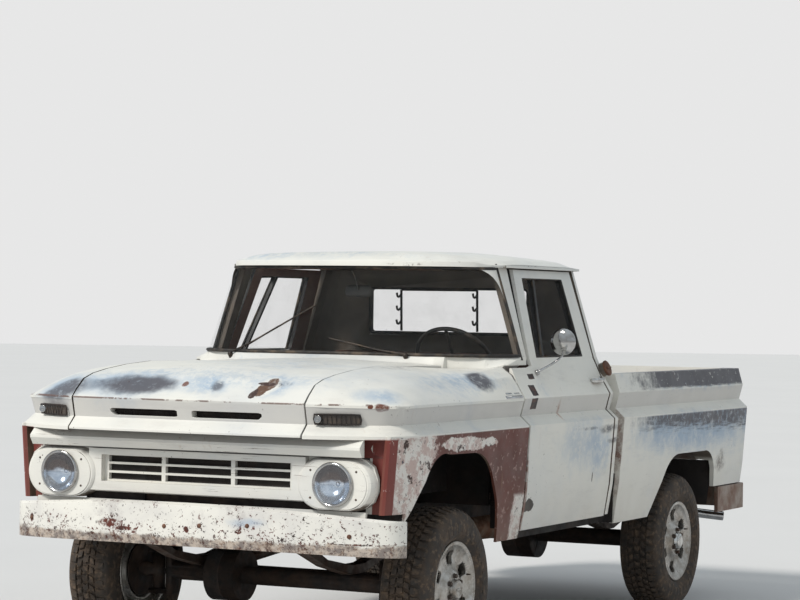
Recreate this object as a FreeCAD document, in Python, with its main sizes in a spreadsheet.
import FreeCAD, Part
import Sketcher
import math
import os

# Pickup truck of the early 1960s: short wide-sided load bed, wraparound windshield, driven front axle.
# x points to the truck's left, y to its rear and z up. While the pieces are drawn, y is the distance
# behind the front axle, and each piece's placement then moves it to the middle of the truck's length.

os.makedirs("parts", exist_ok=True)
doc = FreeCAD.newDocument("pickup_truck")
V = FreeCAD.Vector

SIZES = [
    ("wheelbase", 2921),
    ("mid_length", 1560),
    ("tyre_radius", 375),
    ("tyre_half_width", 122),
    ("bead_radius", 206),
    ("track_half", 830),
    ("rail_inner", 400),
    ("rail_width", 60),
    ("rail_bottom", 600),
    ("rail_top", 710),
    ("axle_radius", 42),
    ("spindle_radius", 34),
    ("spindle_clearance", 0.08),
    ("kingpin_x", 650),
    ("kingpin_radius", 30),
    ("steer_arm", 200),
    ("body_half_width", 1000),
    ("belt_height", 1412),
    ("roof_height", 1945),
    ("door_front", 680),
    ("door_rear", 1760),
    ("door_bottom", 594),
    ("bed_front_y", 1905),
    ("bed_rear_y", 3890),
    ("bed_floor_top", 830),
    ("bed_floor_thickness", 25),
    ("bed_rail_height", 1325),
    ("lamp_radius", 89),
    ("lamp_x", 705),
    ("lamp_height", 887),
    ("skin", 12),
    ("tailgate_half_width", 858),
    ("tailgate_thickness", 38),
    ("bumper_thickness", 10),
    ("seat_half_width", 640),
    ("steering_wheel_radius", 205),
    ("steering_rim_radius", 11),
    ("ball_hole_radius", 13),
    ("hinge_x", 965),
    ("hinge_y", 715),
    ("hinge_pin_radius", 8),
    ("pin_clearance", 0.08),
    ("gate_axis_y", 3872),
    ("gate_axis_z", 852),
]
sheet = doc.addObject("Spreadsheet::Sheet", "Sizes")
for row, (alias, value) in enumerate(SIZES, 1):
    sheet.set("A%d" % row, alias)
    sheet.set("B%d" % row, str(value))
    sheet.setAlias("B%d" % row, alias)
doc.recompute()
size = {alias: float(sheet.get(alias)) for alias, value in SIZES}

nodes = []


def keep(obj, label, start="0"):
    """Name one finished piece and set it at its place along the truck."""
    obj.Label = label
    obj.setExpression("Placement.Base.y", "%s - Sizes.mid_length" % start)
    nodes.append(obj)
    return obj


def value_of(number):
    """A size given as a number or as an expression of the sheet's names."""
    if isinstance(number, str):
        total = 0.0
        for term in number.replace("-", "+-").split("+"):
            term = term.strip()
            if not term:
                continue
            sign = 1.0
            if term.startswith("-"):
                sign = -1.0
                term = term[1:].strip()
            amount = 1.0
            for factor in term.split("*"):
                factor = factor.strip().replace("Sizes.", "")
                amount *= size[factor] if factor in size else float(factor)
            total += sign * amount
        return total
    return float(number)


def plane_of(body, role):
    return [f for f in body.Origin.OriginFeatures if f.Role == role][0]


def sketch_on(body, role, offset):
    sk = body.newObject("Sketcher::SketchObject", "Outline")
    sk.AttachmentSupport = [(plane_of(body, role), "")]
    sk.MapMode = "FlatFace"
    sk.AttachmentOffset = FreeCAD.Placement(V(0, 0, value_of(offset)), FreeCAD.Rotation())
    if isinstance(offset, str):
        sk.setExpression("AttachmentOffset.Base.z", offset)
    return sk


def polygon(sk, points):
    """A closed outline of straight lines, each corner held at its own distances."""
    first = sk.GeometryCount
    count = len(points)
    pts = [V(value_of(p[0]), value_of(p[1]), 0) for p in points]
    for i in range(count):
        sk.addGeometry(Part.LineSegment(pts[i], pts[(i + 1) % count]), False)
    for i in range(count):
        sk.addConstraint(Sketcher.Constraint("Coincident", first + i, 2, first + (i + 1) % count, 1))
    for i in range(count):
        for k, kind in enumerate(("DistanceX", "DistanceY")):
            amount = (pts[i].x, pts[i].y)[k]
            if abs(amount) < 1e-6:
                sk.addConstraint(Sketcher.Constraint("PointOnObject", first + i, 1, -2 if k == 0 else -1))
                continue
            n = sk.addConstraint(Sketcher.Constraint(kind, -1, 1, first + i, 1, amount))
            if isinstance(points[i][k], str):
                sk.setExpression("Constraints[%d]" % n, points[i][k])


def circle(sk, x, y, radius):
    n = sk.addGeometry(Part.Circle(V(value_of(x), value_of(y), 0), V(0, 0, 1), value_of(radius)), False)
    c = sk.addConstraint(Sketcher.Constraint("Radius", n, value_of(radius)))
    if isinstance(radius, str):
        sk.setExpression("Constraints[%d]" % c, radius)
    for k, kind in enumerate(("DistanceX", "DistanceY")):
        amount = (value_of(x), value_of(y))[k]
        if abs(amount) < 1e-6:
            sk.addConstraint(Sketcher.Constraint("PointOnObject", n, 3, -2 if k == 0 else -1))
        else:
            sk.addConstraint(Sketcher.Constraint(kind, -1, 1, n, 3, amount))


def pad(body, role, offset, length, outlines=(), circles=()):
    sk = sketch_on(body, role, offset)
    for points in outlines:
        polygon(sk, points)
    for x, y, r in circles:
        circle(sk, x, y, r)
    feature = body.newObject("PartDesign::Pad", "Pad")
    feature.Profile = sk
    feature.Length = value_of(length)
    if isinstance(length, str):
        feature.setExpression("Length", length)
    return feature


def pocket(body, role, offset, length, outlines=(), circles=(), both=False):
    """A cut that starts on a plane and goes against its normal, or both ways from it."""
    sk = sketch_on(body, role, offset)
    for points in outlines:
        polygon(sk, points)
    for x, y, r in circles:
        circle(sk, x, y, r)
    feature = body.newObject("PartDesign::Pocket", "Pocket")
    feature.Profile = sk
    feature.Length = value_of(length)
    if both:
        feature.Midplane = True
    return feature


def revolve(body, points):
    """Turn an outline, given as distance along x and radius, about the x axis."""
    sk = sketch_on(body, "XY_Plane", 0)
    polygon(sk, points)
    feature = body.newObject("PartDesign::Revolution", "Turned")
    feature.Profile = sk
    feature.ReferenceAxis = (sk, ["H_Axis"])
    feature.Angle = 360.0
    return feature


def new_body(name):
    return doc.addObject("PartDesign::Body", name)


def block(name, x0, x1, y0, y1, z0, z1):
    """A box between two corners; any of the six may name a size of the sheet."""
    box = doc.addObject("Part::Box", name)
    low = (x0, y0, z0)
    high = (x1, y1, z1)
    for k, prop in enumerate(("Length", "Width", "Height")):
        setattr(box, prop, value_of(high[k]) - value_of(low[k]))
        if isinstance(high[k], str) or isinstance(low[k], str):
            box.setExpression(prop, "(%s) - (%s)" % (high[k], low[k]))
    box.Placement = FreeCAD.Placement(V(*[value_of(c) for c in low]), FreeCAD.Rotation())
    for k, axis in enumerate("xyz"):
        if isinstance(low[k], str):
            box.setExpression("Placement.Base.%s" % axis, low[k])
    return box


def rod(name, start, end, radius):
    """A round bar between two points."""
    a = V(*start)
    b = V(*end)
    bar = doc.addObject("Part::Cylinder", name)
    bar.Radius = value_of(radius)
    if isinstance(radius, str):
        bar.setExpression("Radius", radius)
    bar.Height = (b - a).Length
    bar.Placement = FreeCAD.Placement(a, FreeCAD.Rotation(V(0, 0, 1), b - a))
    return bar


def join(name, pieces):
    fused = doc.addObject("Part::MultiFuse", name)
    fused.Shapes = pieces
    return fused


def face(points):
    wire = Part.makePolygon([V(*p) for p in points] + [V(*points[0])])
    return Part.Face(wire)


def prism_x(points, x0, x1):
    """An outline in y and z, carried from x0 to x1."""
    return face([(x0, y, z) for y, z in points]).extrude(V(x1 - x0, 0, 0))


def arch(steps, x0, x1):
    """A wheel opening in y and z, carried from x0 to x1; a step of two points is an arc through the first to the second."""
    start = here = V(x0, *steps[0])
    edges = []
    for step in steps[1:] + [steps[0]]:
        if isinstance(step[0], tuple):
            end = V(x0, *step[1])
            edges.append(Part.Arc(here, V(x0, *step[0]), end).toShape())
        else:
            end = V(x0, *step)
            edges.append(Part.makeLine(here, end))
        here = end
    return Part.Face(Part.Wire(edges)).extrude(V(x1 - x0, 0, 0))


def prism_y(points, y0, y1):
    """An outline in x and z, carried from y0 to y1."""
    return face([(x, y0, z) for x, z in points]).extrude(V(0, y1 - y0, 0))


def loft(sections):
    """A solid with straight lines between sections that have the same number of corners."""
    wires = [Part.makePolygon([V(*p) for p in s] + [V(*s[0])]) for s in sections]
    solid = Part.makeLoft(wires, True, True)
    if solid.Volume < 0:
        solid.reverse()
    return solid


def mirrored(shape):
    return shape.mirror(V(0, 0, 0), V(1, 0, 0))


def piece(label, shape):
    """A sheet-metal or glass piece made from its own sections."""
    if shape.ShapeType == "Compound" and len(shape.Solids) == 1:
        shape = shape.Solids[0]
    obj = doc.addObject("Part::Feature", label)
    obj.Shape = shape
    return keep(obj, label)


def at(table, t):
    """Read a table of pairs, with straight lines between its rows."""
    if t <= table[0][0]:
        return table[0][1]
    for (a, va), (b, vb) in zip(table, table[1:]):
        if t <= b:
            return va + (vb - va) * (t - a) / (b - a)
    return table[-1][1]


# Frame: two channel rails that rise over the rear axle, and the members across them.
RAIL_PATH_TOP = [(3860, "Sizes.rail_top"), (3480, "Sizes.rail_top"), (3200, 752), (2700, 752), (2400, "Sizes.rail_top"), (400, "Sizes.rail_top"),
                 (-740, "Sizes.rail_top")]
RAIL_PATH_BOTTOM = [(-740, "Sizes.rail_bottom"), (2400, "Sizes.rail_bottom"), (2700, 652), (3200, 652),
                    (3480, "Sizes.rail_bottom"), (3860, "Sizes.rail_bottom")]
for label, offset in (("frame_left", "Sizes.rail_inner"), ("frame_right", "-Sizes.rail_inner - Sizes.rail_width")):
    rail = new_body(label)
    pad(rail, "YZ_Plane", offset, "Sizes.rail_width", [RAIL_PATH_BOTTOM + RAIL_PATH_TOP])
    keep(rail, label)

MEMBERS = [
    # y0, y1, z0, z1
    (-735, -675, 605, 695),
    (1220, 1290, 612, 700),
    (1500, 1570, 610, 700),
    (2380, 2440, 612, 705),
    (3400, 3460, 625, 690),
    (3790, 3855, 605, 685),
]
members = []
for y0, y1, z0, z1 in MEMBERS:
    half = "Sizes.rail_inner" if z0 > 600 else "Sizes.rail_inner + Sizes.rail_width"
    members.append(block("Member", "-" + half.replace(" + ", " - "), half, y0, y1, z0, z1))
keep(join("crossmembers", members), "crossmembers")

# Front axle: tube, differential to the truck's right, and an open yoke at each end for the kingpin.
parts = [rod("Tube", (-575, 0, 375), (575, 0, 375), "Sizes.axle_radius"),
         rod("Differential", (-330, 0, 375), (-170, 0, 375), 125), rod("Pinion", (-250, 60, 445), (-250, 150, 447), 40)]
for side in (1, -1):
    lo, hi = sorted((side * 560, side * 590))
    parts.append(block("Web", lo, hi, -35, 35, 262, 488))
    lo, hi = sorted((side * 585, side * 688))
    parts.append(block("UpperArm", lo, hi, -32, 32, 464, 488))
    parts.append(block("LowerArm", lo, hi, -32, 32, 262, 286))
keep(join("front_axle", parts), "front_axle")

# Rear axle: tube, round differential housing, and the end spindles with the brake plates.
parts = [rod("Tube", (-700, 2921, 375), (700, 2921, 375), "Sizes.axle_radius + 4"),
         rod("Differential", (-90, 2921, 375), (90, 2921, 375), 140)]
for side in (1, -1):
    parts.append(rod("Spindle", (side * 695, 2921, 375), (side * 818, 2921, 375), "Sizes.spindle_radius"))
    parts.append(rod("BrakePlate", (side * 742, 2921, 375), (side * 750, 2921, 375), 130))
keep(join("rear_axle", parts), "rear_axle")

# Leaf springs: a pack over each axle end, tied to the rails at both ends.
SPRINGS = [
    # name, x0, width, y centre, half length, base height, end height, pack depth
    ("SpringFL", 372, 60, 0, 540, 417, 600, 46),
    ("SpringFR", -432, 60, 0, 540, 417, 600, 46),
    ("SpringRL", 466, 60, 2921, 640, 421, 652, 60),
    ("SpringRR", -526, 60, 2921, 640, 421, 652, 60),
]
springs = []
for name, x0, width, yc, half, base, end, depth in SPRINGS:
    outline = [(yc - half, end - 34), (yc - 0.55 * half, base + 0.34 * (end - base) - 6), (yc - 60, base),
               (yc + 60, base), (yc + 0.55 * half, base + 0.34 * (end - base) - 6), (yc + half, end - 34),
               (yc + half, end), (yc + half - 50, end - 4), (yc + 0.55 * half, base + 0.34 * (end - base) + 0.6 * depth),
               (yc + 60, base + depth), (yc - 60, base + depth),
               (yc - 0.55 * half, base + 0.34 * (end - base) + 0.6 * depth), (yc - half + 50, end - 4), (yc - half, end)]
    body = new_body(name)
    pad(body, "YZ_Plane", x0, width, [outline])
    springs.append(body)
springs.append(block("ShackleL", 460, 526, 2281, 2321, 640, 700))
springs.append(block("ShackleR", -526, -460, 2281, 2321, 640, 700))
springs.append(block("HangerL", 460, 526, 3521, 3561, 640, 690))
springs.append(block("HangerR", -526, -460, 3521, 3561, 640, 690))
keep(join("leaf_springs", springs), "leaf_springs")

# Engine: one plain block; gearbox and transfer case behind it.
engine = new_body("engine_block")
pad(engine, "XZ_Plane", -450, 700, [[(-300, 900), (-200, 620), (-110, 560), (110, 560), (200, 620), (300, 900),
                                     (240, 1120), (90, 1180), (-90, 1180), (-240, 1120)]])
keep(engine, "engine_block")
parts = [rod("Bell", (0, 450, 606), (0, 600, 606), 92), rod("Box", (0, 590, 606), (0, 965, 606), 80),
         block("Transfer", -260, 90, 960, 1180, 470, 690)]
keep(join("transmission", parts), "transmission")
parts = [rod("ShaftFront", (-215, 956, 520), (-250, 153, 447), 32), rod("ShaftRear", (0, 1184, 560), (0, 2780, 400), 38)]
keep(join("driveshafts", parts), "driveshafts")
EXHAUST = [(300, 180, 560), (300, 1400, 528)]
outlet = V(200 + 100 / 2.8, 120, 720)
elbow = outlet + V(280, 0, -100) * (70 / math.hypot(280, 100))
parts = [rod("Outlet", tuple(outlet), tuple(elbow), 26), rod("Down", tuple(elbow), EXHAUST[0], 26),
         rod("Front", EXHAUST[0], EXHAUST[1], 28),
         rod("Muffler", (305, 1350, 530), (305, 2000, 512), 75), rod("Mid", (306, 1990, 512), (330, 2380, 560), 27),
         rod("OverAxle", (330, 2370, 560), (330, 3440, 560), 27), rod("Tail", (330, 3430, 560), (560, 3800, 475), 27),
         rod("Tip", (551, 3786, 478), (850, 3925, 442), 25)]
keep(join("exhaust", parts), "exhaust")
radiator = new_body("radiator")
pad(radiator, "XZ_Plane", 640, 60, [[(-300, 700), (300, 700), (300, 1170), (-300, 1170)]])
keep(radiator, "radiator")

# Plan of the front: y of the upper lip at each x, and its height.
LIP = [(0, -875), (300, -872), (525, -862), (650, -835), (750, -800), (850, -750), (905, -715), (944, -682), (965, -640), (972, -590)]
LIP_HEIGHT = [(0, 1237), (600, 1234), (850, 1231), (972, 1228)]
COVE = [
    # inward offset from the lip, height
    (-28, 1089),
    (-28, 1100),
    (22, 1145),
    (0, 1222),
]

# Hood profiles: y and z along each line of constant x, from the lip to the rear edge.
HOOD = [
    (0, [(-875, 1237), (-835, 1262), (-772, 1304), (-720, 1348), (-635, 1375), (-440, 1387), (-190, 1399), (440, 1407)]),
    (150, [(-874, 1237), (-834, 1262), (-771, 1304), (-718, 1342), (-635, 1368), (-440, 1382), (-190, 1393), (443, 1402)]),
    (300, [(-872, 1236), (-832, 1261), (-768, 1302), (-715, 1336), (-635, 1360), (-440, 1374), (-190, 1386), (455, 1396)]),
    (450, [(-867, 1235), (-830, 1260), (-764, 1300), (-710, 1333), (-630, 1356), (-430, 1374), (-190, 1386), (482, 1392)]),
    (560, [(-858, 1235), (-822, 1266), (-760, 1310), (-690, 1335), (-575, 1355), (-403, 1374), (-190, 1387), (512, 1384)]),
    (594, [(-851, 1235), (-816, 1269), (-757, 1314), (-685, 1337), (-575, 1355), (-403, 1374), (-190, 1387), (526, 1381)]),
]


def hood_section(x, profile):
    lip_y, lip_z = profile[0]
    skin = size["skin"]
    top = [(x, y, z) for y, z in profile]
    under = [(x, y + (6 if i else 0), z - skin - 4) for i, (y, z) in enumerate(profile)][1:]
    under[-1] = (x, profile[-1][0], profile[-1][1] - skin)
    nose = [(x, lip_y + 60, lip_z - 6), (x, lip_y + 60, 1160), (x, lip_y + 62, 1089),
            (x, lip_y + COVE[0][0], 1089), (x, lip_y + COVE[1][0], 1100), (x, lip_y + COVE[2][0], 1145)]
    return top + under[::-1] + nose


stations = [(-x, profile) for x, profile in HOOD[:0:-1]] + HOOD
hood = loft([hood_section(x, profile) for x, profile in stations])
slot = [(38, 1162), (50, 1158), (370, 1158), (389, 1172), (389, 1184), (375, 1188), (50, 1188), (38, 1184)]
for side in (1, -1):
    hood = hood.cut(prism_y([(side * x, z) for x, z in slot], -900, -790))
piece("hood", hood)

# Fender top: profiles along lines of constant x, like the hood's.
FENDER = [
    (602, [(-849, 1234), (-814, 1270), (-758, 1315), (-680, 1338), (-575, 1355), (-403, 1374), (-190, 1387), (69, 1385), (560, 1366)]),
    (690, [(-824, 1233), (-792, 1264), (-738, 1302), (-670, 1324), (-575, 1342), (-403, 1364), (-190, 1374), (69, 1372), (592, 1366)]),
    (760, [(-795, 1232), (-765, 1258), (-712, 1288), (-655, 1311), (-575, 1332), (-403, 1352), (-190, 1361), (69, 1359), (618, 1364)]),
    (850, [(-750, 1231), (-722, 1248), (-672, 1270), (-625, 1289), (-560, 1305), (-403, 1323), (-190, 1326), (69, 1326), (655, 1378)]),
    (905, [(-715, 1230), (-692, 1239), (-652, 1254), (-615, 1266), (-560, 1276), (-403, 1288), (-190, 1290), (69, 1290), (664, 1340)]),
    (950, [(-670, 1229), (-656, 1231), (-632, 1236), (-608, 1242), (-560, 1248), (-403, 1254), (-190, 1254), (69, 1254), (665, 1264)]),
    (972, [(-590, 1228), (-586, 1228.4), (-580, 1228.8), (-572, 1229.2), (-545, 1229.6), (-403, 1230), (-190, 1230), (69, 1230), (665, 1230)]),
]


def fender_section(x, profile):
    skin = size["skin"]
    top = [(x, y, z) for y, z in profile]
    under = [(x, y, z - skin) for y, z in profile]
    return top + under[::-1]


def wall(levels, path_of, inner_of):
    """A wall between two paths, given at each height."""
    sections = []
    for z in levels:
        sections.append([(x, y, z) for x, y in path_of(z)] + [(x, y, z) for x, y in inner_of(z)][::-1])
    return loft(sections)


def shifted(path, inward):
    """Move a path sideways, to the right of its direction of travel when inward is positive."""
    out = []
    for i, (x, y) in enumerate(path):
        a = path[max(i - 1, 0)]
        b = path[min(i + 1, len(path) - 1)]
        dx = b[0] - a[0]
        dy = b[1] - a[1]
        n = math.hypot(dx, dy)
        out.append((x - inward * dy / n, y + inward * dx / n))
    return out


CORNER = [(603, -849), (650, -835), (750, -800), (850, -750), (905, -715), (940, -682), (962, -640), (971, -590), (971, -300), (971, 665)]
COVE_OFFSET = [(1084, -28), (1100, -28), (1145, 22), (1222, 1)]


def cove_path(z):
    path = shifted(CORNER, at(COVE_OFFSET, z))
    return [(602, path[0][1])] + path[1:]


def cove_inner(z):
    path = shifted(CORNER, 40)
    return [(602, path[0][1])] + path[1:]


cove = wall([z for z, offset in COVE_OFFSET], cove_path, cove_inner)

SIDE_X = [(545, 942), (760, 975), (1085, 1000), (1100, 1000)]


SIDE_FRONT = [(850, -700), (914, -700), (928, -728), (943, -733), (955, -726), (960, -712), (980, -640), (993, -540),
              (1000, -400), (1000, 665)]


def side_path(z):
    lean = 1000 - at(SIDE_X, z)
    return [(x - lean, y) for x, y in SIDE_FRONT]


def side_inner(z):
    return shifted(side_path(z), size["skin"])


ARCH_FRONT = [(-589, 500), (-589, 717), (-430, 895), ((-345, 985), (-200, 1002)), (60, 998), ((215, 948), (300, 850)),
              ((372, 720), (418, 500))]
side = wall([560, 760, 1085, 1099], side_path, side_inner)
side = side.cut(arch(ARCH_FRONT, 800, 1100))
side = side.cut(Part.makeBox(320, 211, 260, V(780, -800, 500)))
sections = []
for x in (645, 735, 822):
    y = at(LIP, x) + 6
    sections.append([(x, y, 1150), (x, y + 30, 1150), (x, y + 30, 1190), (x, y - 2, 1190)])
park_lamp = loft(sections)
fender = loft([fender_section(x, profile) for x, profile in FENDER])
fender = fender.fuse([cove, side]).cut(park_lamp).removeSplitter()
piece("fender_left", fender)
piece("fender_right", mirrored(fender))

HOOD_POST = 1307.7
# Inner fenders, whose tops follow the underside of the fenders, and the support around the radiator
# with two posts that the closed hood rests on.
crest = [(y, z - size["skin"] - 3.1) for y, z in FENDER[0][1] if -700 < y]
inner = prism_x([(-700, 780), (-700, 1317)] + crest + [(556, 780)], 604, 616)
support = Part.makeBox(1208, 12, 1120 - size["rail_top"], V(-604, -712, size["rail_top"]))
support = support.cut(Part.makeBox(580, 40, 340, V(-290, -726, 740)))
posts = [Part.makeCylinder(11, HOOD_POST - 1110, V(x, -706, 1110)) for x in (470, -470)]
piece("inner_fenders", support.fuse([inner, mirrored(inner)] + posts).removeSplitter())

# Grille panel: a plate with three rows of openings, a raised frame round them, and a domed surround at each lamp.
grille = new_body("GrillePlate")
end_high = [(899, 860), (899, 915), (880, 968), (840, 996), (800, 1003)]
end_low = [(560, 803), (600, 785), (640, 775), (800, 773), (850, 790), (880, 815)]
outline = end_low + end_high + [(-x, z) for x, z in end_high[::-1]] + [(-x, z) for x, z in end_low[::-1]]
pad(grille, "XZ_Plane", 712, 22, [outline])
windows = []
for x0, x1 in ((-470, -190), (-170, 170), (190, 470)):
    for z0, z1 in ((860, 889), (899, 929), (939, 968)):
        windows.append([(x0, z0), (x1, z0), (x1, z1), (x0, z1)])
doc.recompute()
pocket(grille, "XZ_Plane", 800, 100, windows)
surround = new_body("GrilleSurround")
pad(surround, "XZ_Plane", 734, 30, [[(-560, 810), (560, 810), (560, 1000), (-560, 1000)],
                                    [(-492, 852), (492, 852), (492, 972), (-492, 972)]])


def round_ended(x, y, z, half_length, radius):
    """A wire of two straight lines and two half circles."""
    low, high = z - radius, z + radius
    left, right = x - half_length, x + half_length
    return Part.Wire([Part.makeLine(V(left, y, low), V(right, y, low)),
                      Part.Arc(V(right, y, low), V(right + radius, y, z), V(right, y, high)).toShape(),
                      Part.makeLine(V(right, y, high), V(left, y, high)),
                      Part.Arc(V(left, y, high), V(left - radius, y, z), V(left, y, low)).toShape()])


pods = []
for side_of in (1, -1):
    for label, rings in (("Pod", [(-722, 888, 83, 115), (-752, 887, 76, 113), (-768, 885, 69, 110.5), (-774, 883.5, 62, 107)]),
                         ("LampPlate", [(-773, 883.5, 60, 103.5), (-778, 883.5, 59, 102)])):
        pod = doc.addObject("Part::Feature", label)
        pod.Shape = Part.makeLoft([round_ended(side_of * size["lamp_x"], y, z, half_length, radius)
                                   for y, z, half_length, radius in rings], True, True)
        pods.append(pod)
holes = [rod("LampHole", (side_of * size["lamp_x"], -700, size["lamp_height"]), (side_of * size["lamp_x"], -800, size["lamp_height"]),
             "Sizes.lamp_radius + 3") for side_of in (1, -1)]
grille_cut = doc.addObject("Part::Cut", "GrilleWithHoles")
grille_cut.Base = join("GrilleParts", [grille, surround] + pods)
grille_cut.Tool = join("GrilleHoles", holes)
keep(grille_cut, "grille_panel")

# Bar above the grille, the strip below it, and the stays that carry them.
HEADER = [(-768, 1083), (-778, 1083), (-812, 1052), (-812, 1040), (-790, 1008), (-768, 1008)]
bar = doc.addObject("Part::Feature", "Bar")
bar.Shape = prism_x(HEADER, -850, 850)
parts = [bar, block("Strip", -848, 848, -745, -730, "Sizes.rail_top", 770)]
for lo, hi in ((560, 600), (-600, -560)):
    parts.append(block("UpperStay", lo, hi, -768, -712, 1010, 1080))
    parts.append(block("LowerStay", lo, hi, -730, -712, 700, 770))
keep(join("header_panel", parts), "header_panel")

# Headlamps: a can with a domed lens.
lamps = []
for side_of in (1, -1):
    x = side_of * size["lamp_x"]
    z = size["lamp_height"]
    lamps.append(rod("Can", (x, -705, z), (x, -784, z), "Sizes.lamp_radius"))
    lamps.append(rod("Flange", (x, -705, z), (x, -711.7, z), 100))
    lens = doc.addObject("Part::Cone", "Lens")
    lens.Radius1 = 84
    lens.Radius2 = 50
    lens.Height = 10
    lens.Placement = FreeCAD.Placement(V(x, -783.9, z), FreeCAD.Rotation(V(0, 0, 1), V(0, -1, 0)))
    lamps.append(lens)
keep(join("headlamps", lamps), "headlamps")


piece("park_lamps", Part.makeCompound([park_lamp, mirrored(park_lamp)]))

# Front bumper: a pressed bar whose top edge arches up in the middle and whose ends wrap round.
BUMPER = [
    # x, y, top, fold, bottom
    (0, -868, 781, 656, 588),
    (300, -862, 779, 655, 588),
    (550, -842, 768, 650, 586),
    (760, -802, 754, 642, 582),
    (880, -762, 745, 635, 579),
    (950, -727, 739, 630, 577),
    (985, -692, 736, 628, 576),
    (1000, -655, 734, 628, 575),
]


def bumper_section(x, y, top, fold, bottom):
    depth = size["bumper_thickness"]
    lean = 1.0 - (x / 1000.0) ** 4
    return [(x, y + 26 * lean, top), (x, y, top - 12), (x, y - 6 * lean, fold), (x, y + 10 * lean, bottom),
            (x, y + 10 * lean + depth, bottom), (x, y - 6 * lean + depth, fold), (x, y + depth, top - 18),
            (x, y + 26 * lean + depth, top - 6)]


half_bumper = [bumper_section(*row) for row in BUMPER]
other = [[(-x, y, z) for x, y, z in s] for s in half_bumper[:0:-1]]
bumper = loft(other + half_bumper)
stays = [Part.makeBox(40, 110, 70, V(x, -850, 620)) for x in (410, -450)]
bumper = bumper.fuse(stays).removeSplitter()
piece("front_bumper", bumper)

# Cab floor with firewall, sills, seat box, door posts, and the arms and pins of the door hinges.
HINGE_LOW = (790, 1040)
parts = [block("Floor", -860, 860, 655, 1852, "Sizes.rail_top", 730), block("Firewall", -800, 800, 640, 655, "Sizes.rail_top", 1340),
         block("SillL", 838, 870, 655, 1765, 545, 760), block("SillR", -870, -838, 655, 1765, 545, 760),
         block("PostL", 800, 869, 665, 735, 600, 1340), block("PostR", -869, -800, 665, 735, 600, 1340),
         block("RearPostL", 800, 869, 1785, 1835, 600, 1250), block("RearPostR", -869, -800, 1785, 1835, 600, 1250),
         block("SeatBox", -600, 600, 1180, 1740, 730, 915)]
for sgn in (1, -1):
    for low in HINGE_LOW:
        lo, hi = sorted((sgn * 860, sgn * 962))
        parts.append(block("HingeArm", lo, hi, 708, 722, low, low + 20))
        parts.append(rod("HingePin", (sgn * 965, 715, low - 30), (sgn * 965, 715, low + 50), "Sizes.hinge_pin_radius"))
keep(join("cab_floor", parts), "cab_floor")

# Cab back: both rear corners and the rear wall, bowed with the body's side section.
CAB_X = [(600, 948), (760, 975), (1085, 1000), (1100, 1000), (1145, 950), (1228, 972), (1300, 928), (1412, 876), (1640, 808), (1858, 742)]
CAB_Y = [(600, 1878), (1412, 1878), (1858, 1862)]


def cab_path(z):
    x = at(CAB_X, z)
    y = at(CAB_Y, z)
    half = [(x, 1776), (x, y - 62), (x - 18, y - 24), (x - 60, y), (x - 250, y)]
    return half + [(-px, py) for px, py in half[::-1]]


def cab_inner(z):
    x = at(CAB_X, z) - 40
    y = at(CAB_Y, z) - 26
    half = [(x, 1776), (x, y - 62), (x - 18, y - 24), (x - 60, y), (x - 210, y)]
    return half + [(-px, py) for px, py in half[::-1]]


cab_back = wall([z for z, x in CAB_X], cab_path, cab_inner)
WINDOW_REAR = [(-467, 1540), (-447, 1521), (447, 1521), (467, 1540), (467, 1743), (447, 1762), (-447, 1762), (-467, 1743)]
cab_back = cab_back.cut(prism_y(WINDOW_REAR, 1800, 1950))
cap = Part.makeCylinder(38, 34, V(905, 1815, 1345), V(0.93, 0, 0.36))
cab_back = cab_back.fuse(cap)
cab_back = cab_back.cut(Part.makeBox(1600, 60, 120, V(-800, 1835, size["rail_top"] - 120)))
piece("cab_back", cab_back)
rear_glass = prism_y([(x * 0.998, 1641.5 + (z - 1641.5) * 0.996) for x, z in WINDOW_REAR], 1848, 1854)
piece("rear_glass", rear_glass)

# Windshield: straight lines between a base curve and a top curve that both wrap round the corners.
GLASS_BASE = [(0, 515), (200, 518), (400, 530), (550, 552), (680, 595), (770, 655), (830, 735), (858, 800), (864, 850)]
GLASS_TOP = [(0, 600), (190, 604), (370, 616), (490, 640), (585, 680), (660, 735), (702, 790), (722, 825), (728, 857)]


def both_sides(path):
    return [(-x, y) for x, y in path[:0:-1]] + path


glass_low = both_sides(GLASS_BASE)
glass_high = both_sides(GLASS_TOP)
low_in = [(x, y) for x, y in shifted(glass_low, 7)]
high_in = [(x, y) for x, y in shifted(glass_high, 7)]
windshield = loft([[(x, y, 1424) for x, y in glass_low] + [(x, y, 1424) for x, y in low_in[::-1]],
                   [(x, y, 1858) for x, y in glass_high] + [(x, y, 1858) for x, y in high_in[::-1]]])
piece("windshield", windshield)

# Cowl: the band between the hood and the windshield, widening to the door posts.
COWL = [
    # x, front y, front z, glass y, glass z
    (0, 450, 1404, 512, 1424),
    (200, 456, 1398, 515, 1424),
    (400, 482, 1391, 527, 1424),
    (550, 524, 1383, 549, 1424),
    (596, 543, 1379, 562, 1424),
    (604, 570, 1364, 578, 1424),
    (680, 597, 1364, 610, 1424),
    (770, 630, 1366, 662, 1424),
    (830, 660, 1378, 738, 1424),
    (858, 672, 1388, 803, 1424),
    (872, 690, 1388, 850, 1424),
]


def cowl_section(x, front_y, front_z, glass_y, glass_z):
    low = 1340 if x < 840 else 1384
    return [(x, front_y, max(front_z - 26, low)), (x, front_y, front_z), (x, glass_y - 6, glass_z - 3),
            (x, glass_y, glass_z), (x, glass_y + 60, glass_z), (x, glass_y + 60, low), (x, glass_y + 30, low)]


half_cowl = [cowl_section(*row) for row in COWL]
cowl = loft([[(-x, y, z) for x, y, z in s] for s in half_cowl[:0:-1]] + half_cowl)
piece("cowl_top", cowl)

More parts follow.
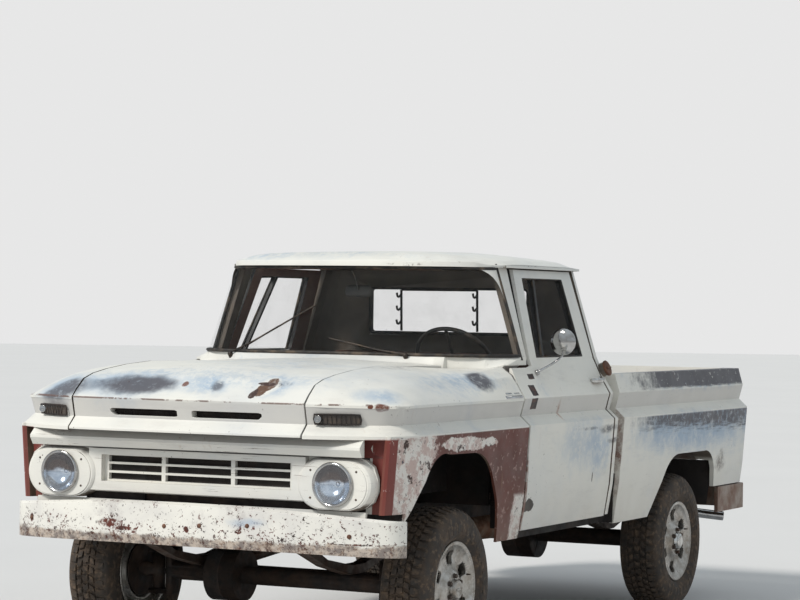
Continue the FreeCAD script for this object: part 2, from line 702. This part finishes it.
# Windshield posts: from the cowl's corners up to the roof.
post = loft([
    [(826, 866, 1384), (862, 866, 1384), (862, 928, 1384), (828, 928, 1384)],
    [(826, 862, 1424), (862, 862, 1424), (862, 930, 1424), (828, 930, 1424)],
    [(690, 868, 1858), (730, 868, 1858), (736, 960, 1858), (698, 960, 1858)],
])
post = post.cut(cowl)
piece("windshield_posts", Part.makeCompound([post, mirrored(post)]))

# Roof: low crown with a rim that overhangs the windshield.
ROOF_FRONT = [(0, 556), (250, 566), (450, 600), (590, 655), (668, 730), (712, 800), (752, 880)]
ROOF_CROWN = [(0, 1945), (250, 1943), (450, 1938), (590, 1928), (668, 1916), (712, 1903), (752, 1878)]
roof_half = []
for (x, front), (x_again, crown) in zip(ROOF_FRONT, ROOF_CROWN):
    if x < 700:
        under = crown - 30
        roof_half.append([(x, front, 1858), (x, front + 4, 1884), (x, front + 110, crown - 16), (x, 1150, crown),
                          (x, 1760, crown - 14), (x, 1884, 1884), (x, 1890, 1858), (x, 1836, 1858), (x, 1740, under - 8),
                          (x, 1150, under), (x, front + 150, under - 12), (x, front + 62, 1858)])
    else:
        edge = x > 740
        roof_half.append([(x, front, 1858), (x, front + 4, 1870), (x, front + 110, crown - (2 if edge else 12)), (x, 1150, crown),
                          (x, 1700, crown - (2 if edge else 8)), (x, 1830 if edge else 1870, 1872),
                          (x, 1836 if edge else 1880, 1858), (x, 1820, 1858), (x, 1700, 1858),
                          (x, 1150, 1858), (x, front + 150, 1858), (x, front + 62, 1858)])
roof = loft([[(-x, y, z) for x, y, z in s] for s in roof_half[:0:-1]] + roof_half)
drip_rail = prism_y([(748, 1858), (768, 1858), (768, 1870), (764, 1870), (764, 1862), (748, 1862)], 885, 1825)
roof = roof.fuse([drip_rail, mirrored(drip_rail)]).removeSplitter()
piece("roof", roof)

# Doors: one thick piece each, with the window frame and the vent post.
DOOR_OUT = [(594, 948), (760, 975), (1085, 1000), (1100, 1000), (1145, 950), (1228, 972), (1300, 928), (1412, 876), (1858, 745)]
DOOR_IN = [(594, 884), (1100, 884), (1228, 884), (1372, 884), (1412, 838), (1858, 707)]
section = [(x, z) for z, x in DOOR_OUT] + [(x, z) for z, x in DOOR_IN[::-1]]
DOOR_SIDE = [(680, 594), (1760, 594), (1760, 1412), (1732, 1852), (1010, 1852), (942, 1430), (936, 1380), (880, 1372), (680, 1372)]
door = prism_y(section, 640, 1800)
door = door.common(prism_x(DOOR_SIDE, 600, 1100))
WINDOW = [(1027, 1418), (1612, 1418), (1625, 1432), (1604, 1798), (1590, 1812), (1108, 1812), (1094, 1800)]
door = door.cut(prism_x(WINDOW, 600, 1100))
rear_bevel = [(800, 1790), (800, 1735), (1010, 1790)]
bevel = Part.Face(Part.makePolygon([V(x, y, 500) for x, y in rear_bevel] + [V(800, 1790, 500)])).extrude(V(0, 0, 915))
door = door.cut(bevel)
for low in HINGE_LOW:
    door = door.cut(Part.makeBox(115, 60, 32, V(858, 670, low - 6)))
    door = door.cut(Part.makeCylinder(size["hinge_pin_radius"] + size["pin_clearance"], 92, V(size["hinge_x"], size["hinge_y"], low - 36)))
post = loft([[(838, 1122, 1412), (868, 1122, 1412), (868, 1142, 1412), (838, 1142, 1412)],
             [(718, 1252, 1818), (748, 1252, 1818), (748, 1272, 1818), (718, 1272, 1818)]])
door = door.fuse(post).removeSplitter()
handle = Part.makeBox(26, 120, 18, V(925, 1600, 1288))
door = door.fuse(handle)
piece("door_left", door)
piece("door_right", mirrored(door))
pane = loft([[(854.5, 990, 1412), (860.5, 990, 1412), (860.5, 1660, 1412), (854.5, 1660, 1412)],
             [(735, 990, 1816), (741, 990, 1816), (741, 1660, 1816), (735, 1660, 1816)]])
pane = pane.common(prism_x(WINDOW, 600, 1100)).cut(post)
piece("door_glass_left", pane)
piece("door_glass_right", mirrored(pane))

# Round mirror on a bent arm at the front of the left door.
foot = V(928 - 52 * 45 / 112, 950, 1345)
knee = foot + V(112, 0, 52) * (14 / math.hypot(112, 52))
parts = [rod("Head", (975, 1120, 1498), (975, 1130, 1498), 66), rod("Arm", tuple(knee), (975, 1125, 1440), 6),
         rod("Foot", tuple(foot), tuple(knee), 14)]
for back, radius, front, small in ((1120, 66, 1107, 57), (1107, 57, 1098, 34)):
    dome = doc.addObject("Part::Cone", "Dome")
    dome.Radius1 = radius
    dome.Radius2 = small
    dome.Height = back - front
    dome.Placement = FreeCAD.Placement(V(975, back, 1498), FreeCAD.Rotation(V(0, 0, 1), V(0, -1, 0)))
    parts.append(dome)
keep(join("mirror", parts), "mirror")

# Load bed: floor, two double-walled sides, front wall, wheelhouses and tailgate.
bed = new_body("floor_plate")
pad(bed, "XY_Plane", "Sizes.bed_floor_top - Sizes.bed_floor_thickness", "Sizes.bed_floor_thickness",
    [[(-872, "Sizes.bed_front_y + 25"), (872, "Sizes.bed_front_y + 25"), (872, 3837), (-872, 3837)]])
doc.recompute()
pocket(bed, "XY_Plane", "Sizes.bed_floor_top + 10", 80,
       [[(s * 665, 2470), (s * 900, 2470), (s * 900, 3372), (s * 665, 3372)] for s in (1, -1)])
sills = [block("BedSill", -460, 460, y, y + 60, "Sizes.rail_top", 805) for y in (1960, 2320, 3490, 3770)]
keep(join("bed_floor", [bed] + sills), "bed_floor")

rail = size["bed_rail_height"]
BED_SECTION = [(946, 545), (975, 760), (1000, 1085), (1000, 1100), (950, 1145), (972, 1228), (951, rail - 25), (945, rail),
               (872, rail), (872, 812), (950, 804), (948, 760), (921, 545)]
bed_side = prism_y(BED_SECTION, size["bed_front_y"], size["bed_rear_y"])
ARCH_REAR = [(2390, 500), (2400, 546), (2560, 735), ((2660, 835), (2800, 870)), (3200, 868), ((3340, 825), (3400, 725)),
             (3430, 640), (3430, 500)]
bed_side = bed_side.cut(arch(ARCH_REAR, 800, 1100))
bed_side = bed_side.cut(Part.makeBox(300, 600, 152, V(800, 3400, 500)))
gate_pin = Part.makeCylinder(8, 24, V(850, size["gate_axis_y"], size["gate_axis_z"]), V(1, 0, 0))
bed_side = bed_side.fuse(gate_pin)
piece("bed_side_left", bed_side)
piece("bed_side_right", mirrored(bed_side))
keep(block("bed_front", -872, 872, "Sizes.bed_front_y", "Sizes.bed_front_y + 25", 790, "Sizes.bed_rail_height - 35"),
     "bed_front", "Sizes.bed_front_y")

house = Part.makeBox(232, 932, 205, V(640, 2455, 830))
house = house.makeChamfer(60, [e for e in house.Edges if abs(e.BoundBox.ZMin - 1035) < 1 and abs(e.BoundBox.ZMax - 1035) < 1
                               and (abs(e.BoundBox.XMax - 640) < 1 or e.BoundBox.YLength < 1)])
hollow = Part.makeBox(232, 880, 180, V(665, 2481, 829))
hollow = hollow.makeChamfer(50, [e for e in hollow.Edges if abs(e.BoundBox.ZMin - 1009) < 1 and abs(e.BoundBox.ZMax - 1009) < 1
                                 and (abs(e.BoundBox.XMax - 665) < 1 or e.BoundBox.YLength < 1)])
house = house.cut(hollow)
piece("wheelhouses", Part.makeCompound([house, mirrored(house)]))

gate = new_body("gate_panel")
gate_y = 3845
half = "Sizes.tailgate_half_width"
pad(gate, "XZ_Plane", -(gate_y + 38), "Sizes.tailgate_thickness",
    [[("-" + half, 838), (half, 838), (half, "Sizes.bed_rail_height"), ("-" + half, "Sizes.bed_rail_height")]])
doc.recompute()
pocket(gate, "XZ_Plane", -(gate_y + 38 - 10), 10, [[(-760, 900), (760, 900), (760, 1250), (-760, 1250)]])
bores = [rod("GateBore", (sgn * 849, 3872, 852), (sgn * 870, 3872, 852), 8.08) for sgn in (1, -1)]
gate_cut = doc.addObject("Part::Cut", "GateWithBores")
gate_cut.Base = gate
gate_cut.Tool = join("GateBores", bores)
keep(gate_cut, "tailgate")

parts = [block("LampL", 896, 950, 3890, 3906, 880, 1030), block("LampR", -950, -896, 3890, 3906, 880, 1030)]
keep(join("tail_lamps", parts), "tail_lamps")

rear = new_body("rear_bar")
pad(rear, "XY_Plane", 499, 146, [[(-962, 3500), (-940, 3500), (-940, 3935), (-915, 3962), (915, 3962), (940, 3935), (940, 3500),
                                  (962, 3500), (962, 3950), (925, 3988), (-925, 3988), (-962, 3950)]])
stays = [block("StayL", 405, 455, 3860, 3964, 600, 642), block("StayR", -455, -405, 3860, 3964, 600, 642),
         block("HitchPlate", -130, 130, 3880, 3964, 588, 600), block("HitchBar", -455, 455, 3862, 3884, 588, 600)]
hitch = doc.addObject("Part::Cut", "RearBumperWithBore")
hitch.Base = join("RearBumperParts", [rear] + stays)
hitch.Tool = rod("BallHole", (0, 3925, 570), (0, 3925, 620), "Sizes.ball_hole_radius")
keep(hitch, "rear_bumper")

# Inside: dashboard and bench seat.
dash = new_body("dashboard")
pad(dash, "YZ_Plane", -798, 1596, [[(655, 1192), (735, 1192), (775, 1275), (770, 1330), (655, 1338)]])
keep(dash, "dashboard")
cushion = new_body("seat_cushion")
pad(cushion, "YZ_Plane", "-Sizes.seat_half_width", "2 * Sizes.seat_half_width",
    [[(1110, 915.3), (1660, 915.3), (1660, 1040), (1130, 1080), (1110, 1060)]])
keep(cushion, "seat_cushion")
back = new_body("seat_back")
pad(back, "YZ_Plane", "-Sizes.seat_half_width", "2 * Sizes.seat_half_width",
    [[(1660.3, 915.3), (1745, 915.3), (1825, 1400), (1800, 1430), (1740, 1430), (1715, 1400), (1660.3, 1060)]])
keep(back, "seat_back")

# Steering knuckles: kingpin, stub spindle, brake plate and an arm to the rear for the tie rod.
for label, sgn in (("knuckle_left", 1), ("knuckle_right", -1)):
    parts = [rod("Kingpin", (sgn * 650, 0, 286.3), (sgn * 650, 0, 463.7), "Sizes.kingpin_radius"),
             rod("Spindle", (sgn * 650, 0, 375), (sgn * 818, 0, 375), "Sizes.spindle_radius"),
             rod("BrakePlate", (sgn * 742, 0, 375), (sgn * 750, 0, 375), 130),
             block("Arm", min(sgn * 635, sgn * 665), max(sgn * 635, sgn * 665), 0, 218, 352, 372)]
    keep(join(label, parts), label)

# Tie rod across the two arms, above them, with a ball end over each.
parts = [rod("Rod", (-630, 200, 390), (630, 200, 390), 13), rod("EndL", (650, 200, 372.3), (650, 200, 405), 22),
         rod("EndR", (-650, 200, 372.3), (-650, 200, 405), 22)]
keep(join("tie_rod", parts), "tie_rod")

# Steering wheel with its shaft, leaning back towards the driver.
HUB = V(418, 1062, 1390)
lean = V(0, -0.80, -0.60)
wheel_turn = FreeCAD.Rotation(V(0, 0, 1), V(0, 0.80, 0.60))
ring = new_body("Ring")
grip = []
for k in range(10):
    along = math.cos(math.radians(36 * k))
    out = math.sin(math.radians(36 * k))
    grip.append(("%sSizes.steering_rim_radius * %.4f" % ("-" if along < 0 else "", abs(along)),
                 "Sizes.steering_wheel_radius %s Sizes.steering_rim_radius * %.4f" % ("-" if out < 0 else "+", abs(out))))
revolve(ring, grip)
ring.Placement = FreeCAD.Placement(HUB, FreeCAD.Rotation(V(1, 0, 0), V(0, 0.80, 0.60)))
hub_end = HUB + lean * 60
parts = [ring, rod("Hub", tuple(HUB + lean * -12), tuple(hub_end), 32)]
for angle in (0, 180, 270):
    spoke = wheel_turn.multVec(V(math.cos(math.radians(angle)), math.sin(math.radians(angle)), 0)) * size["steering_wheel_radius"]
    parts.append(rod("Spoke", tuple(HUB + lean * 10), tuple(HUB + spoke), 9))
wheel_cut = doc.addObject("Part::Cut", "WheelWithBore")
wheel_cut.Base = join("WheelRing", parts)
wheel_cut.Tool = rod("WheelBore", tuple(HUB + lean * 15), tuple(HUB + lean * 70), 12.08)
keep(wheel_cut, "steering_wheel")

# Steering column between the dashboard and the wheel's hub.
parts = [rod("Column", tuple(HUB + lean * 65), tuple(HUB + lean * 490), 24),
         rod("Shaft", tuple(HUB + lean * 20), tuple(HUB + lean * 70), 12)]
keep(join("steering_column", parts), "steering_column")

# Wheels: hollow tyre on an alloy rim with six windows; the brake drum and hub are one with the rim.
TYRE = [(-92, "Sizes.bead_radius"), (-92, "Sizes.bead_radius + 16"), (-118, 242), ("-Sizes.tyre_half_width", 290), (-112, 338),
        (-92, 364), (-66, "Sizes.tyre_radius"), (66, "Sizes.tyre_radius"), (92, 364), (112, 338), ("Sizes.tyre_half_width", 290),
        (118, 242), (92, "Sizes.bead_radius + 16"), (92, "Sizes.bead_radius"), (76, "Sizes.bead_radius"),
        (100, 285), (78, 352), (-78, 352), (-100, 285), (-76, "Sizes.bead_radius")]
RIM = [(-101, "Sizes.bead_radius + 13"), (-92, "Sizes.bead_radius + 13"), (-92, "Sizes.bead_radius"), (-68, "Sizes.bead_radius"),
       (-50, 192), (40, 192), (60, "Sizes.bead_radius"), (92, "Sizes.bead_radius"), (92, "Sizes.bead_radius + 13"),
       (101, "Sizes.bead_radius + 13"), (101, 208),
       (84, 192), (66, 150), (72, 104), (94, 78), (96, 46), (116, 42), (116, 0), (26, 0),
       (26, "Sizes.spindle_radius + Sizes.spindle_clearance"), (-60, "Sizes.spindle_radius + Sizes.spindle_clearance"),
       (-60, 58), (20, 62), (20, 142), (-86, 142), (-86, 152), (34, 152), (34, 100), (50, 100), (50, 150), (60, 182), (34, 184),
       (-46, 184), (-64, 196), (-93, 197)]
WHEELS = [
    # label, side, y
    ("front_left", 1, 0),
    ("front_right", -1, 0),
    ("rear_left", 1, 2921),
    ("rear_right", -1, 2921),
]
for label, sgn, y in WHEELS:
    turn = FreeCAD.Rotation(V(0, 0, 1), 0 if sgn > 0 else 180)
    for kind, outline in (("tyre", TYRE), ("rim", RIM)):
        name = kind + "_" + label
        body = new_body(name)
        revolve(body, outline)
        if kind == "rim":
            doc.recompute()
            sk = sketch_on(body, "YZ_Plane", 130)
            polygon(sk, [(-32, 168), (-24, 116), (24, 116), (32, 168), (18, 176), (-18, 176)])
            hole = body.newObject("PartDesign::Pocket", "Window")
            hole.Profile = sk
            hole.Length = 88
            doc.recompute()
            pattern = body.newObject("PartDesign::PolarPattern", "Windows")
            pattern.Originals = [hole]
            pattern.Axis = ([f for f in body.Origin.OriginFeatures if f.Role == "X_Axis"][0], [""])
            pattern.Angle = 360
            pattern.Occurrences = 6
            body.Tip = pattern
        keep(body, name)
        body.Placement = FreeCAD.Placement(V(sgn * size["track_half"], y - size["mid_length"], size["tyre_radius"]), turn)
        body.setExpression("Placement.Base.x", "%d * Sizes.track_half" % sgn)
        body.setExpression("Placement.Base.y", "%s - Sizes.mid_length" % ("Sizes.wheelbase" if y else "0"))
        body.setExpression("Placement.Base.z", "Sizes.tyre_radius")

doc.recompute()
bad = [o.Name for o in doc.Objects if "Invalid" in o.State or "Error" in o.State]
if bad:
    raise RuntimeError("failed objects: " + ", ".join(bad))
for obj in nodes:
    if obj.Shape.isNull() or not obj.Shape.isValid() or obj.Shape.Volume <= 0:
        raise RuntimeError("bad shape: " + obj.Label)
for obj in nodes:
    obj.Shape.exportStep("parts/%s.step" % obj.Label)
    b = obj.Shape.BoundBox
    print("%-18s solids %d  x %.0f..%.0f  y %.0f..%.0f  z %.0f..%.0f  litres %.2f" % (
        obj.Label, len(obj.Shape.Solids), b.XMin, b.XMax, b.YMin, b.YMax, b.ZMin, b.ZMax, obj.Shape.Volume / 1e6))
print(len(nodes), "pieces")
